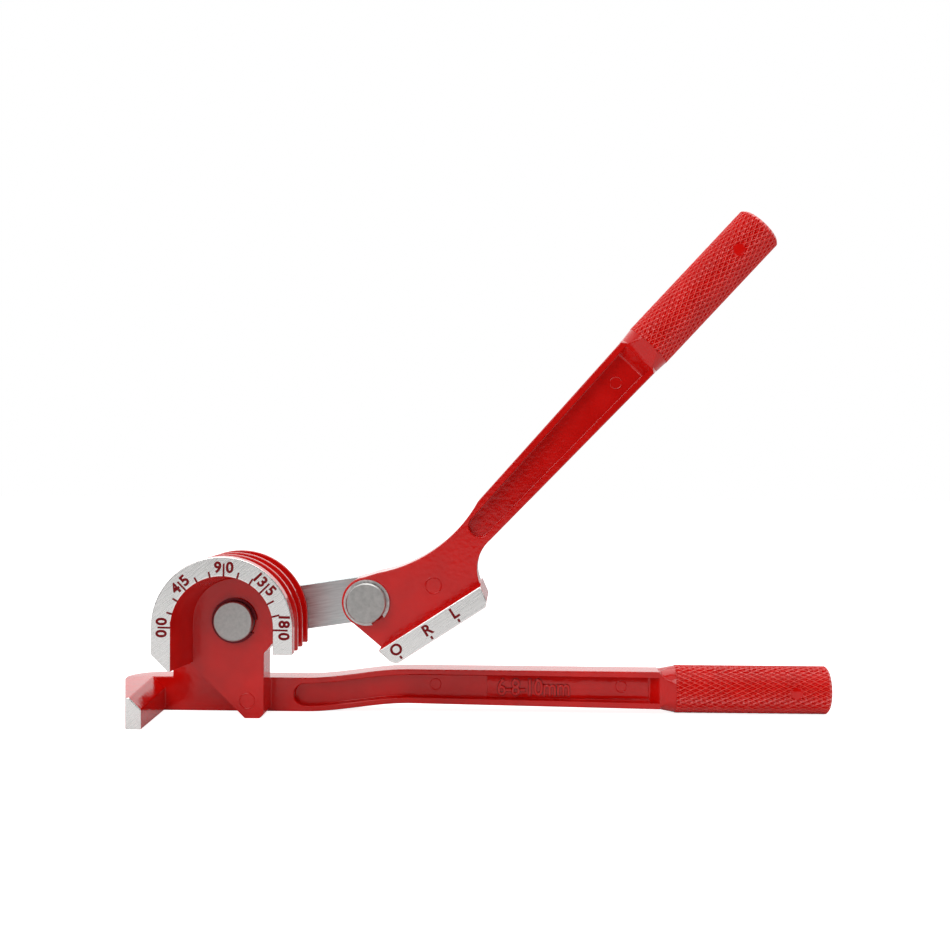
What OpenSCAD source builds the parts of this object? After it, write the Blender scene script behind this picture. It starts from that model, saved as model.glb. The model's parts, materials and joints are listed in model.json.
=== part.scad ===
// Three-size hand tube bender: a grooved former with its handle, a bending shoe
// with its handle, and a steel link that joins their two pivots.
// X runs along the lower handle, Y away from the dial face, Z up. Millimetres.

/* [Tubes and former] */
// Outside diameter of the small tube, nearest the dial
tube_small_d = 6; // [5:0.5:7]
// Outside diameter of the middle tube
tube_mid_d = 8; // [7:0.5:9]
// Outside diameter of the large tube, nearest the link
tube_large_d = 10; // [9:0.5:11]
// Added to each groove's width so that the tube drops in
groove_clear = 0.2; // [0.1:0.05:0.4]
// Radius of the dial and of every flange
flange_r = 25; // [24:0.5:28]
// How far every tube stands out of its groove past the flanges
tube_proud = 3; // [2.5:0.25:3.5]
// Thickness of the dial plate in front of the first groove
dial_t = 4.7; // [3:0.1:7]
// Thickness of each flange behind a groove
flange_t = 1.9; // [1.5:0.1:3]
// Width of the ground dial face
dial_w = 6.9; // [6:0.1:8]
// How much narrower the cup is at its floor than at the dial
cup_taper = 2.6; // [1:0.1:3]
// Depth of the cup from the dial face to the web
cup_depth = 22; // [20:0.5:24]
// Straight run of the grooves below the dial's right end
leg_len = 9.4; // [6:0.2:12]
// Straight run of the grooves below the dial's left end, to its pointed tip
long_leg_len = 15.5; // [14:0.5:17]

/* [Post, hook and base] */
// Height of the former's axis over the surface that the bender stands on
axis_height = 36; // [34:0.5:40]
// Right edge of the post, from the former's axis
post_right = 10.7; // [9:0.1:12]
// Chamfer at the foot of the post
post_chamfer = 1.4; // [0.5:0.1:2]
// Height of the arm that carries the hook, over the base
arm_h = 12.8; // [11:0.2:14]
// Height of the shoulder on the arm, behind the former
shoulder_h = 5.2; // [3:0.2:5.4]
// Height of the hook's ground end over the base
hook_h = 11.2; // [10:0.2:12.4]
// Width of the hook's ground end
hook_w = 5.6; // [5:0.2:8]
// How far the hook's outer side leans out from its ground end to the arm's back
hook_flare = 14.64; // [10:0.01:18]
// How far the hook's tube side falls back from its ground end to the arm
hook_draft = 1.5; // [0.5:0.1:2]
// Rounding of the arm's outer corner
hook_round = 13; // [5:0.5:14]
// Lead-in chamfer on the hook's tube side
hook_chamfer = 4.2; // [2:0.2:4.6]
// Clearance between the hook and a tube in its groove
hook_clear = 0.2; // [0.05:0.05:0.3]

/* [Handles and grips] */
// Thickness of both handles
beam_t = 12; // [10:0.5:14]
// Gap in depth between the shoe casting and the lower handle
handle_gap = 0.6; // [0.5:0.1:2]
// Where the lower handle starts to rise, from the former's axis
rise_from = 24; // [18:1:30]
// Where the lower handle's rise ends
rise_to = 63; // [55:1:75]
// How far the lower handle's underside rises
rise = 3.5; // [2:0.25:5]
// Height of the lower handle after the rise
lower_beam_h = 12.9; // [12:0.1:14]
// Growth of the lower handle's height towards the grip
lower_beam_grow = 1.2; // [0:0.1:2]
// How far the lower handle's underside drops towards the grip
lower_beam_drop = 1.4; // [0:0.1:2]
// Distance from the former's axis to the lower grip
lower_grip_start = 158; // [140:1:190]
// Length of the lower grip
lower_grip_len = 63.4; // [50:0.2:75]
// Distance along the upper handle to its grip
upper_grip_start = 135; // [120:1:160]
// Length of the upper grip
upper_grip_len = 65; // [50:0.5:75]
// Diameter of both grips
grip_d = 18; // [16:0.5:20]
// Rounding of each grip's end
grip_round = 2; // [0.5:0.25:4]
// Length of the sloped flats where each handle runs into its grip
grip_ramp = 5.4; // [4:0.2:7]
// Depth of each flat below the grip's round at its upper end
grip_step = 0.6; // [0.3:0.1:1]
// Width of the rim round each handle's pocket
rim_w = 2.2; // [1.5:0.1:3]
// Depth of the pocket on each side of a handle
pocket_depth = 4; // [2:0.25:5]
// Length of the ramp at the pocket's grip end
pocket_ramp = 3.5; // [2:0.25:5]

/* [Shoe casting] */
// Gap between the shoe's face and the flanges when the shoe bears on a tube
shoe_gap = 1; // [0.6:0.1:1.5]
// Distance from the shoe's pivot to the shoe's face
shoe_drop = 23.2; // [21:0.2:26]
// Point where the shoe touches the tube, along the shoe from its pivot
touch_offset = 7.5; // [5:0.25:10]
// Thickness of the ground shoe strip
strip_h = 7.3; // [6:0.1:8]
// End of the strip before its pivot
strip_start = 3.2; // [2:0.2:5]
// End of the strip past its pivot
strip_end = 39.1; // [34:0.5:44]
// Chamfer of the strip's corners
strip_chamfer = 1.6; // [1:0.1:1.9]
// How far the strip's far end leans in towards its face
strip_lean = 0.9; // [0.2:0.1:1.5]
// Radius of the ear round the shoe's pivot
ear_r = 9.2; // [8.8:0.1:11]
// Length of the ear's bore
ear_len = 18; // [16:0.5:19]
// Step of the shoe's back face from the ear's back face
shoe_step = 0.5; // [0.3:0.1:1]
// Angle of the upper handle to the shoe's face
handle_tilt = 14.3; // [10:0.1:18]
// Distance from the pivot to the upper handle's centre line, along the shoe's drop
handle_offset = 11.1; // [9:0.1:13]
// Width of the upper handle where it passes the pivot
upper_beam_w = 10.4; // [9.5:0.1:11]
// Growth of the upper handle's width over each millimetre
upper_beam_grow = 0.0456; // [0.03:0.001:0.05]
// Start of the upper handle's pocket along the handle
upper_pocket_start = 47; // [44:1:55]
// Where the casting's back starts to slope towards the upper handle
slope_start = 38; // [37:0.5:42]
// Length of that slope along the handle
slope_len = 22; // [12:1:26]
// Radius of the hollow curve above the shoe
neck_r = 52; // [45:1:60]
// Fillet under the upper handle
crook_r = 14; // [8:0.5:16]

/* [Link and pins] */
// Width of the link strap
link_w = 16.8; // [15:0.2:20]
// Thickness of the link strap
link_t = 4; // [3:0.25:5]
// Diameter of both pivot pins
pin_d = 14.5; // [13:0.1:15]
// Radial running clearance of each pin in its bore
pin_clear = 0.05; // [0.02:0.01:0.1]
// How far each pin stands out of its casting
pin_proud = 4; // [3:0.25:5]
// Chamfer at each pin's front edge
pin_chamfer = 0.4; // [0.2:0.1:0.8]
// Diameter of the tenon riveted through the link
tenon_d = 10; // [8:0.25:11]
// Clearance round the tenon and inside each snap ring
fit_clear = 0.02; // [0.01:0.01:0.05]
// Diameter of the riveted head behind the link
rivet_d = 13; // [12:0.25:14]
// Height of the riveted head
rivet_h = 1.3; // [0.8:0.1:2]
// Outside diameter of each snap ring
ring_d = 16.6; // [16:0.1:17.5]
// Thickness of each snap ring
ring_t = 1.2; // [0.8:0.1:1.6]
// Depth of the groove that holds each snap ring
ring_groove = 0.6; // [0.4:0.1:1]
// Width of the gap in each snap ring
ring_gap = 5; // [3:0.25:7]
// Space between the castings and the link for the spring washers
washer_space = 1; // [0.8:0.1:1.5]
// Thickness of each spring washer
washer_t = 0.6; // [0.4:0.05:0.7]
// Outside diameter of each spring washer
washer_d = 17.8; // [17:0.1:18]
// Axial play of each ring and washer
play = 0.05; // [0.05:0.01:0.1]

/* [Rest position] */
// How far the handle is swung open from the tube, in degrees
handle_open = 122.8; // [0:1:180]
// Bend angle that the link shows on the dial
bend_angle = 180; // [0:1:180]

/* [Hidden] */
$fn = 96;

PAINT = "#c4161c";
STEEL = "#b9bcc0";
DARK_STEEL = "#4a4445";

// Overlap of joined shapes within one casting, and overshoot of cuts
lap = 0.6;
over = 1;

// Groove stack, from the dial face to the back
tubes = [tube_small_d, tube_mid_d, tube_large_d];
groove_w = [for (d = tubes) d + groove_clear];
groove_y = [dial_t + groove_w[0] / 2,
            dial_t + groove_w[0] + flange_t + groove_w[1] / 2,
            dial_t + groove_w[0] + groove_w[1] + 2 * flange_t + groove_w[2] / 2];
stack_depth = dial_t + groove_w[0] + groove_w[1] + groove_w[2] + 3 * flange_t;
tube_outside_r = flange_r + tube_proud;
cup_r_front = flange_r - dial_w;
cup_r_floor = cup_r_front - cup_taper;
web_r = cup_r_floor + lap;
web_low = leg_len - over;

// Base, arm and lower handle
base_z = -axis_height;
arm_top = base_z + arm_h;
hook_right = -tube_outside_r - hook_clear;
hook_tip_left = hook_right - hook_w;
hook_left = hook_tip_left - hook_flare;
hook_root = hook_right - hook_draft;
shoulder_left = -(flange_r + tube_outside_r) / 2;
beam_front = stack_depth + handle_gap;
beam_back = beam_front + beam_t;
beam_mid = (beam_front + beam_back) / 2;
lower_grip_end = lower_grip_start + lower_grip_len;
lower_grip_z = base_z + grip_d / 2;
lower_pocket_start = post_right + lap + rim_w + rise_from / 4;
lower_pocket_end = lower_grip_start - lap;

// Pivots: the shoe's pivot lies where its face just clears the flanges at the touch point
shoe_reach = flange_r + shoe_gap + shoe_drop;
link_len = sqrt(shoe_reach * shoe_reach + touch_offset * touch_offset);
touch_angle = atan2(touch_offset, shoe_reach);
link_angle = 180 - bend_angle + touch_angle;
shoe_angle = link_angle - 90 - touch_angle + handle_open;
shoe_pivot = [link_len * cos(link_angle), 0, link_len * sin(link_angle)];

// Shoe casting in depth
ear_front = stack_depth - ear_len;
shoe_back = stack_depth - shoe_step;
upper_beam_back = ear_front + beam_t;
upper_beam_mid = ear_front + beam_t / 2;
upper_pocket_end = upper_grip_start - lap;
strip_top = -shoe_drop + strip_h;
body_right = strip_end - over;

// Link and pins in depth
link_front = stack_depth + washer_space;
link_back = link_front + link_t;
bore_r = pin_d / 2 + pin_clear;

// Lean of the hook's outer side, and the centre of the arm's rounded corner
hook_lean = atan2(hook_flare, beam_back);
hook_spread = (1 + sin(hook_lean)) / cos(hook_lean);
corner_r = min(hook_round, (hook_root - lap - hook_left) / hook_spread);
hook_corner = [hook_left + corner_r * hook_spread, beam_back - corner_r];

// Origin of the part: middle of its base
x_mid = (hook_corner[0] - corner_r - lap / 10 + lower_grip_end) / 2;
y_mid = (beam_mid + grip_d / 2) / 2;

// Moves from the former's axis at the dial face to the part's origin
module place() translate([-x_mid, -y_mid, -base_z]) children();

// Places a shape drawn round the shoe's pivot, with X along the shoe
module at_shoe() place() translate(shoe_pivot) rotate([0, -shoe_angle, 0]) children();

// Places a shape drawn along the link, with X from the former's axis to the shoe's pivot
module at_link() place() rotate([0, -link_angle, 0]) children();

// A flat outline in X and Z, as thick as the depth from y0 to y1
module plate(y0, y1) translate([0, y1, 0]) rotate([90, 0, 0]) linear_extrude(y1 - y0) children();

// A profile of radius and depth, turned about the Y axis
module turned() rotate([-90, 0, 0]) rotate_extrude() children();

// A hole or shaft along Y
module rod(r, y0, y1) translate([0, y1, 0]) rotate([90, 0, 0]) cylinder(r = r, h = y1 - y0);

// Point where a line from p touches a circle round the origin
function touch_point(r, p, side) =
    let (a = atan2(p[1], p[0]) + side * acos(r / norm(p))) [r * cos(a), r * sin(a)];

// Smooth step from 0 to 1
function ease(t) = let (c = min(max(t, 0), 1)) c * c * (3 - 2 * c);

// Grip along X with a rounded end. Its root swells from neck_r and has a sloped flat on each side.
module grip(start, len, neck_r) {
    r = grip_d / 2;
    bar = len - grip_ramp;
    slope = (r - grip_step - beam_t / 2) / grip_ramp;
    translate([start + grip_ramp, 0, 0]) rotate([0, 90, 0]) rotate_extrude() {
        square([r - grip_round, bar]);
        square([r, bar - grip_round]);
        translate([r - grip_round, bar - grip_round]) circle(r = grip_round);
    }
    intersection() {
        translate([start - lap, 0, 0]) rotate([0, 90, 0])
            cylinder(r1 = neck_r, r2 = r - lap / 10, h = grip_ramp + 2 * lap);
        linear_extrude(2 * grip_d, center = true) for (side = [-1, 1])
            polygon([[start - over, -side * lap], [start - over, side * (beam_t / 2 - slope * over)],
                     [start + grip_ramp + over, side * (r - grip_step + slope * over)],
                     [start + grip_ramp + over, -side * lap]]);
    }
}

// What is turned off the corners of a square handle where it ends in the root of its grip
module end_cut(start, neck_r) translate([start + lap, 0, 0]) rotate([0, 90, 0]) difference() {
    translate([0, 0, -neck_r / 2]) cylinder(r = 3 * neck_r, h = neck_r);
    translate([0, 0, -neck_r]) cylinder(r1 = 2 * neck_r, r2 = 0, h = 2 * neck_r);
}

// Cuts a pocket into both sides of a handle: the children are the pocket's outline
module pockets(front, back, ramp_end) {
    mid = (front + back) / 2;
    run = pocket_ramp / pocket_depth;
    for (side = [0, 1])
        translate([0, mid, 0]) mirror([0, side, 0]) translate([0, -mid, 0])
            difference() {
                plate(front - over, front + pocket_depth) children();
                linear_extrude(4 * axis_height, center = true)
                    polygon([[ramp_end - run * (pocket_depth + over), front + pocket_depth + over],
                             [ramp_end + 2 * run * over, front - 2 * over],
                             [ramp_end + 6 * over, front - 2 * over],
                             [ramp_end + 6 * over, front + pocket_depth + over]]);
            }
}

// Former and lower handle

// Section of the former's wall: cup taper inside, three U grooves outside
module former_wall() difference() {
    polygon([[cup_r_front, 0], [flange_r, 0], [flange_r, stack_depth],
             [cup_r_floor, stack_depth], [cup_r_floor, cup_depth]]);
    for (i = [0:2])
        translate([tube_outside_r - tubes[i] / 2, groove_y[i]]) {
            circle(d = groove_w[i]);
            translate([0, -groove_w[i] / 2]) square([flange_r, groove_w[i]]);
        }
}

// The arch of the former and its two straight legs
module former_drum() {
    intersection() {
        turned() former_wall();
        translate([-2 * flange_r, -over, 0]) cube([4 * flange_r, stack_depth + 2 * over, 2 * flange_r]);
    }
    translate([0, 0, -leg_len]) linear_extrude(leg_len) former_wall();
    difference() {
        translate([0, 0, -long_leg_len]) linear_extrude(long_leg_len) mirror([1, 0]) former_wall();
        plate(-over, stack_depth + over)
            polygon([[-flange_r - over, -leg_len + over], [-flange_r - over, -long_leg_len - over],
                     [-flange_r + long_leg_len - leg_len + over, -long_leg_len - over]]);
    }
}

// Outline of the web behind the cup and of the post below it
module web_outline() {
    circle(r = web_r);
    translate([-web_r, -web_low]) square([2 * web_r, web_low]);
    polygon([[-web_r, 0], [-web_r, -long_leg_len - lap],
             [-web_r + axis_height - long_leg_len - lap, base_z],
             [post_right - post_chamfer, base_z], [post_right, base_z + post_chamfer], [post_right, 0]]);
}

// Underside and top of the lower handle at a distance from the former's axis
function lower_bottom(x) = base_z + rise * ease((x - rise_from) / (rise_to - rise_from))
    - lower_beam_drop * max(0, x - rise_to) / (lower_grip_start - rise_to);
function lower_height(x) = arm_h + (lower_beam_h - arm_h) * ease((x - rise_from) / (rise_to - rise_from))
    + lower_beam_grow * max(0, x - rise_to) / (lower_grip_start - rise_to);
lower_neck_r = min(lower_height(lower_grip_start) / 2 + lap, grip_d / 2 - lap);
rise_steps = 14;
lower_xs = [for (i = [0:rise_steps]) rise_from + (rise_to - rise_from) * i / rise_steps];

// Outline between the handle's underside and top, drawn in by inset
module lower_outline(from, to, inset) polygon(concat(
    [[from, lower_bottom(from) + inset]],
    [for (x = lower_xs) [x, lower_bottom(x) + inset]],
    [[to, lower_bottom(to) + inset], [to, lower_bottom(to) + lower_height(to) - inset]],
    [for (i = [rise_steps:-1:0]) let (x = lower_xs[i]) [x, lower_bottom(x) + lower_height(x) - inset]],
    [[from, lower_bottom(from) + lower_height(from) - inset]]));

module lower_pocket_outline() {
    r = arm_h / 2 - rim_w;
    translate([lower_pocket_start + r, base_z + arm_h / 2]) circle(r = r);
    lower_outline(lower_pocket_start + r, lower_pocket_end + 3 * over, rim_w);
}

// Outline of the hook and of the arm's end, seen from above
module hook_plan() difference() {
    polygon([[hook_right, 0], [hook_root, beam_front], [hook_root, beam_back],
             [hook_left, beam_back], [hook_tip_left, 0]]);
    difference() {
        polygon([hook_corner, hook_corner - (corner_r + over) * [cos(hook_lean), sin(hook_lean)],
                 [hook_left - over, beam_back + over], hook_corner + [0, corner_r + over]]);
        translate(hook_corner) circle(r = corner_r + lap / 10);
    }
}

// The bar that holds the tube against the former while it is bent, and the arm's end behind it.
// Its top slopes from the ground end up to the arm.
module hook() difference() {
    intersection() {
        translate([0, 0, base_z]) linear_extrude(arm_h) hook_plan();
        translate([hook_left - over, 0, 0]) rotate([90, 0, 90]) linear_extrude(hook_right - hook_left + 2 * over)
            polygon([[-over, base_z - over], [beam_back + over, base_z - over], [beam_back + over, arm_top + over],
                     [beam_front, arm_top + over], [beam_front, arm_top], [0, base_z + hook_h],
                     [-over, base_z + hook_h - over * (arm_h - hook_h) / beam_front]]);
    }
    plate(-over, beam_front)
        polygon([[hook_right + over, base_z + hook_h - hook_chamfer - over],
                 [hook_right + over, arm_top + over],
                 [hook_right - hook_chamfer - arm_top - over + base_z + hook_h, arm_top + over]]);
}

// The raised shoulder of the arm behind the former
module shoulder_outline() polygon([
    [shoulder_left, base_z + over], [shoulder_left, arm_top + shoulder_h],
    [0, arm_top + shoulder_h], [post_right - over, base_z + over]]);

// The square handle between the hook and the lower grip
module lower_beam() difference() {
    plate(beam_front, beam_back) {
        lower_outline(hook_root - lap, lower_grip_start + lap, 0);
        shoulder_outline();
    }
    translate([0, beam_mid, lower_grip_z]) end_cut(lower_grip_start, lower_neck_r);
}

module former_handle() color(PAINT) place() difference() {
    union() {
        former_drum();
        plate(cup_depth, stack_depth) web_outline();
        plate(cup_depth, beam_mid) intersection() {
            web_outline();
            translate([-2 * flange_r, base_z]) square([4 * flange_r, arm_h]);
        }
        plate(stack_depth - lap, beam_mid) intersection() {
            web_outline();
            shoulder_outline();
        }
        hook();
        lower_beam();
        translate([0, beam_mid, lower_grip_z]) grip(lower_grip_start, lower_grip_len, lower_neck_r);
    }
    rod(bore_r, cup_depth - over, stack_depth + over);
    pockets(beam_front, beam_back, lower_pocket_end) lower_pocket_outline();
}

// Shoe and upper handle, drawn round the shoe's pivot

// Half width of the upper handle at a distance along it
function upper_half(s) = (upper_beam_w + upper_beam_grow * s) / 2;
upper_neck_r = min(upper_half(upper_grip_start) + lap / 2, grip_d / 2 - lap);
// Point on the upper handle: distance along it and across its centre line
function on_handle(s, t) = [s * cos(handle_tilt) - t * sin(handle_tilt),
                            -handle_offset + s * sin(handle_tilt) + t * cos(handle_tilt)];
// Slope of the handle's lower edge, and the fillet centre under it
lower_edge_angle = handle_tilt - atan(upper_beam_grow / 2);
lower_edge_at = on_handle(0, -upper_half(0));
crook_run = (body_right + crook_r - lower_edge_at[0] - crook_r * sin(lower_edge_angle)) / cos(lower_edge_angle);
crook = [body_right + crook_r,
         lower_edge_at[1] - crook_r * cos(lower_edge_angle) + crook_run * sin(lower_edge_angle)];
crook_touch = crook + crook_r * [-sin(lower_edge_angle), cos(lower_edge_angle)];

// Hollow curve above the shoe: it dips lowest between the ear and the handle
neck_dip = [strip_end - ear_r - over, 3];
neck_top = [neck_dip[0] - neck_r / 4, neck_dip[1] + neck_r / 25];

module shoe_body_outline() {
    low_left = [-strip_start - over, strip_top - over];
    difference() {
        union() {
            circle(r = ear_r);
            polygon([touch_point(ear_r - lap / 4, neck_top, 1), neck_top, on_handle(crook_run, 0),
                     crook_touch, [body_right, max(crook[1], low_left[1] + lap)], [body_right, low_left[1]], low_left,
                     touch_point(ear_r - lap / 4, low_left, -1), [0, 0]]);
            upper_beam_outline(crook_run / 2, upper_grip_start + lap);
        }
        translate(crook) circle(r = crook_r + lap / 10);
        translate([neck_dip[0], neck_dip[1] + neck_r]) circle(r = neck_r);
    }
}

module upper_beam_outline(from, to) polygon([
    on_handle(from, -upper_half(from)), on_handle(to, -upper_half(to)),
    on_handle(to, upper_half(to)), on_handle(from, upper_half(from))]);

// The ground strip and the shoe behind it
module shoe_outline() {
    face = -shoe_drop;
    polygon([[-strip_start, strip_top], [-strip_start + strip_chamfer, face + strip_chamfer],
             [-strip_start + 2 * strip_chamfer, face], [strip_end - strip_lean - strip_chamfer, face],
             [strip_end - strip_lean, face + strip_chamfer], [strip_end, strip_top]]);
}

// Three shallow grooves that bear on the tubes
module shoe_grooves() for (i = [0:2])
    translate([-strip_start - over, groove_y[i], -shoe_drop - tubes[i] / 2 + tube_proud - shoe_gap])
        rotate([0, 90, 0]) cylinder(d = groove_w[i], h = strip_end + strip_start + 2 * over);

// Turns a shape drawn along X to lie along the upper handle
module along_handle() translate([0, 0, -handle_offset]) rotate([0, -handle_tilt, 0]) children();

module upper_pocket_outline() {
    first = upper_half(upper_pocket_start) - rim_w;
    start = upper_pocket_start + first;
    end = upper_pocket_end + 3 * over;
    translate([start, 0]) circle(r = first);
    polygon([[start, -first], [end, -upper_half(end) + rim_w], [end, upper_half(end) - rim_w], [start, first]]);
}

// Slope of the casting's back from the thick shoe to the thinner handle
module neck_slope() along_handle() linear_extrude(2 * crook_run, center = true)
    polygon([[slope_start, shoe_back], [slope_start + slope_len, upper_beam_back],
             [crook_run + upper_grip_start, upper_beam_back], [crook_run + upper_grip_start, shoe_back + over],
             [slope_start, shoe_back + over]]);

module shoe_handle() color(PAINT) at_shoe() difference() {
    union() {
        difference() {
            plate(ear_front, shoe_back) shoe_body_outline();
            neck_slope();
            translate([0, upper_beam_mid, 0]) along_handle() end_cut(upper_grip_start, upper_neck_r);
        }
        rod(ear_r - shoe_step / 2, shoe_back - lap, stack_depth);
        plate(0, shoe_back) shoe_outline();
        translate([0, upper_beam_mid, 0]) along_handle() grip(upper_grip_start, upper_grip_len, upper_neck_r);
    }
    rod(bore_r, ear_front - over, stack_depth + over);
    shoe_grooves();
    along_handle() pockets(ear_front, upper_beam_back, upper_pocket_end) upper_pocket_outline();
}

// Link, pins, rings and washers, drawn along the link

module link_plate() color(STEEL) at_link() difference() {
    plate(link_front, link_back) {
        circle(d = link_w);
        translate([link_len, 0]) circle(d = link_w);
        translate([0, -link_w / 2]) square([link_len, link_w]);
    }
    for (x = [0, link_len])
        translate([x, 0, 0]) rod(tenon_d / 2 + fit_clear, link_front - over, link_back + over);
}

// Pivot pin whose ring sits in front of the face at seat
module pin(seat) {
    r = pin_d / 2;
    front = seat - pin_proud;
    groove_back = seat - play;
    groove_front = groove_back - ring_t - play;
    turned() difference() {
        polygon([[0, front], [r - pin_chamfer, front], [r, front + pin_chamfer], [r, link_front],
                 [tenon_d / 2, link_front], [tenon_d / 2, link_back], [rivet_d / 2, link_back],
                 [rivet_d / 2, link_back + rivet_h / 2], [rivet_d / 2 - rivet_h, link_back + rivet_h],
                 [0, link_back + rivet_h]]);
        translate([r - ring_groove, groove_front]) square([r, groove_back - groove_front]);
    }
}

// Open ring in a pin's groove: gap_angle points to the middle of its gap
module snap_ring(seat, gap_angle) {
    back = seat - play;
    difference() {
        rod(ring_d / 2, back - ring_t, back);
        rod(pin_d / 2 - ring_groove + fit_clear, back - ring_t - over, back + over);
        rotate([0, -gap_angle, 0]) translate([0, back - ring_t - over, -ring_gap / 2])
            cube([ring_d, ring_t + 2 * over, ring_gap]);
    }
}

// Conical washer: its outer edge bears on the casting and its inner edge on the link
module spring_washer() turned() polygon([
    [bore_r + lap / 4, link_front - play - washer_t], [bore_r + lap / 4, link_front - play],
    [washer_d / 2, stack_depth + play + washer_t], [washer_d / 2, stack_depth + play]]);

// Directions of the ring gaps as seen on the dial side, measured from the link
former_gap_angle = -24;
shoe_gap_angle = -66;

module former_pin() color(STEEL) at_link() pin(cup_depth);
module shoe_pin() color(STEEL) at_link() translate([link_len, 0, 0]) pin(ear_front);
module former_snap_ring() color(DARK_STEEL) at_link() snap_ring(cup_depth, former_gap_angle);
module shoe_snap_ring() color(DARK_STEEL) at_link() translate([link_len, 0, 0])
    snap_ring(ear_front, shoe_gap_angle);
module former_spring_washer() color(STEEL) at_link() spring_washer();
module shoe_spring_washer() color(STEEL) at_link() translate([link_len, 0, 0]) spring_washer();

former_handle();
shoe_handle();
link_plate();
former_pin();
shoe_pin();
former_snap_ring();
shoe_snap_ring();
former_spring_washer();
shoe_spring_washer();
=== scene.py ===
import json
import math

import bmesh
import bpy
from bpy.props import FloatProperty, FloatVectorProperty, IntProperty, PointerProperty
from mathutils import Matrix, Vector
from mathutils.geometry import area_tri, intersect_line_line_2d, intersect_point_line


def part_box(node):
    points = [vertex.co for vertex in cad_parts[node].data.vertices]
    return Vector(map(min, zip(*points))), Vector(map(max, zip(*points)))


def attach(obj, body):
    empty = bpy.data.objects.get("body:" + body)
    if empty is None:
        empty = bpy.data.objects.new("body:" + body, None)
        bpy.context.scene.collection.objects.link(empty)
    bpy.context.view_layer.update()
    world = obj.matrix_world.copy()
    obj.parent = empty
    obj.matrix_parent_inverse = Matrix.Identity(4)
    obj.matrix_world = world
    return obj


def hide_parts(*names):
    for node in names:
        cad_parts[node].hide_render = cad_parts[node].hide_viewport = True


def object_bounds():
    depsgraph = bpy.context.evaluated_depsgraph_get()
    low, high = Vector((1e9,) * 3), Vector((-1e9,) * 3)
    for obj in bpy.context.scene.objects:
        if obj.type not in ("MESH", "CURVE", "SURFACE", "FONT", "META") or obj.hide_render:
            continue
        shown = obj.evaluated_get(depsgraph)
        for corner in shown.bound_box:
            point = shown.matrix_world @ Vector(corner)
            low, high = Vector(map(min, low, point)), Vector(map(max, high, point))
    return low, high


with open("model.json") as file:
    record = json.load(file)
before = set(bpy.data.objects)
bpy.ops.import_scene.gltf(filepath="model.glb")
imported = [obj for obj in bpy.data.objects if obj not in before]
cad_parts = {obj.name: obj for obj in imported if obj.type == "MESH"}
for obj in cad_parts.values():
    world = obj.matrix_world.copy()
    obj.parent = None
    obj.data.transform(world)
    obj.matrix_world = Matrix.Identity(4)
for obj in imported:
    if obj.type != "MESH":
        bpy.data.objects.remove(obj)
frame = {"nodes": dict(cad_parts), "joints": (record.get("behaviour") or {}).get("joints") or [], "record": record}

bl_info = {
    "name": "Three-size tube bender",
    "version": (1, 0, 0),
    "blender": (4, 5, 0),
    "location": "3D View > Sidebar > Tube bender",
    "description": "Dresses the tube bender's castings, grips, marks and steel parts, and sets its stage",
    "category": "Object",
}

# Frame of the object, in metres
MM = 0.001
CAD_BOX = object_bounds()
JOINTS = {joint["name"]: joint for joint in frame["joints"]}
MOUNTS = {mount["name"]: mount for mount in frame["record"]["mounts"]}
FORMER_AXIS = Vector(JOINTS["link_swing"]["pos_m"])
SHOE_AXIS = Vector(JOINTS["handle_swing"]["pos_m"])
GROUND_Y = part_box("former_handle")[0].y

# Turn of the shoe and of its handle at rest, and the handle's offset from the shoe's pivot
SHOE_TURN = math.radians(32.8)
HANDLE_TILT = math.radians(14.3)
HANDLE_OFFSET = 11.1 * MM

# Depths behind the ground face
POST_DEPTH = 22 * MM
EAR_DEPTH = 17 * MM
UPPER_POCKET_DEPTH = 21 * MM
LOWER_POCKET_DEPTH = 39.6 * MM
UPPER_GRIP_DEPTH = 23 * MM

# Distances to the grips' round bars: from the former's axis, and along the upper handle
LOWER_GRIP_START = 163.4 * MM
LOWER_GRIP_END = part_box("former_handle")[1].x - FORMER_AXIS.x
UPPER_GRIP_START = 140.4 * MM
UPPER_GRIP_END = 200 * MM
GRIP_TENON = 0.5 * MM
# The knurling stays just under the CAD's grip, whose facets cut its round a little
GRIP_RADIUS = (MOUNTS["lower_grip"]["dims"]["r_mm"] - 0.03) * MM
GRIP_ROUND = 2 * MM
CORE_RADIUS = GRIP_RADIUS - GRIP_ROUND

# How meshes are merged and read
MERGE_DISTANCE = 2e-6
FLAT_ANGLE = math.radians(0.6)
SHARP_ANGLE = math.radians(25)
CREASE_ANGLE = math.radians(40)
# Faces across a rounded edge
EDGE_SEGMENTS = 3
# How often rounding is tried, and how far around a crossing edges stay sharp, in edge radii
SOFTEN_ATTEMPTS = 12
SOFTEN_REACH = 2
# By how much the triangles of a crossed face cover too much
CROSSED_AREA = 0.3 * MM * MM

FORMER_PLACE = Matrix.Translation((FORMER_AXIS.x, GROUND_Y, FORMER_AXIS.z))
SHOE_PLACE = (Matrix.Translation((SHOE_AXIS.x, GROUND_Y, SHOE_AXIS.z))
              @ Matrix.Rotation(-SHOE_TURN, 4, "Y"))
HANDLE_PLACE = (SHOE_PLACE @ Matrix.Translation((0, 0, -HANDLE_OFFSET))
                @ Matrix.Rotation(-HANDLE_TILT, 4, "Y"))
LOWER_GRIP_PLACE = Matrix.Translation((FORMER_AXIS.x, *MOUNTS["lower_grip"]["pos_m"][1:]))
UPPER_GRIP_PLACE = HANDLE_PLACE @ Matrix.Translation((0, UPPER_GRIP_DEPTH, 0))
# Lays a flat mark on a face that looks towards the dial's side
FACING = Matrix.Rotation(math.radians(90), 4, "X")


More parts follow.
